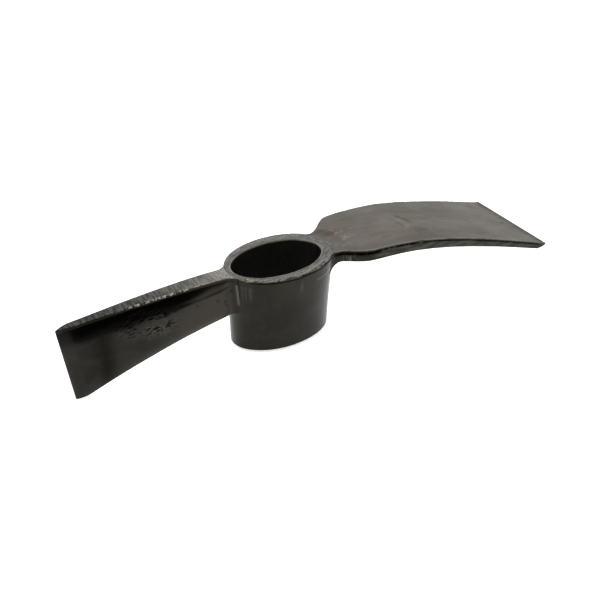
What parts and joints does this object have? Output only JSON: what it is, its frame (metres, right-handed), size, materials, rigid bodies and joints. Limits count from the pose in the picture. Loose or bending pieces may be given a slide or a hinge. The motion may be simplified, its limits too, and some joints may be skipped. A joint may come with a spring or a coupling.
{
  "type": "cutter mattock head",
  "caption": "Bare mattock head: a tapered oval eye collar for a handle, a broad curved hoe blade on one end and a vertical cutter blade on the other.",
  "frame": {"origin": "centre of the handle eye, in the plane of the collar's upper rim", "axes": "+Z along the eye's axis, out of its upper rim; +X along the hoe blade, -X along the cutter; Y across both blades"},
  "size_m": [0.4189, 0.0932, 0.0715],
  "materials": {
    "collar_steel": "black lacquer, semi-gloss, over forged steel",
    "hoe_steel": "black lacquer, semi-gloss, over forge scale",
    "cutter_steel": "black lacquer, semi-gloss, over forge scale and shear marks"
  },
  "bodies": {
    "root": {"eye_collar": "collar_steel", "hoe_blade": "hoe_steel", "cutter_blade": "cutter_steel"}
  },
  "joints": []
}
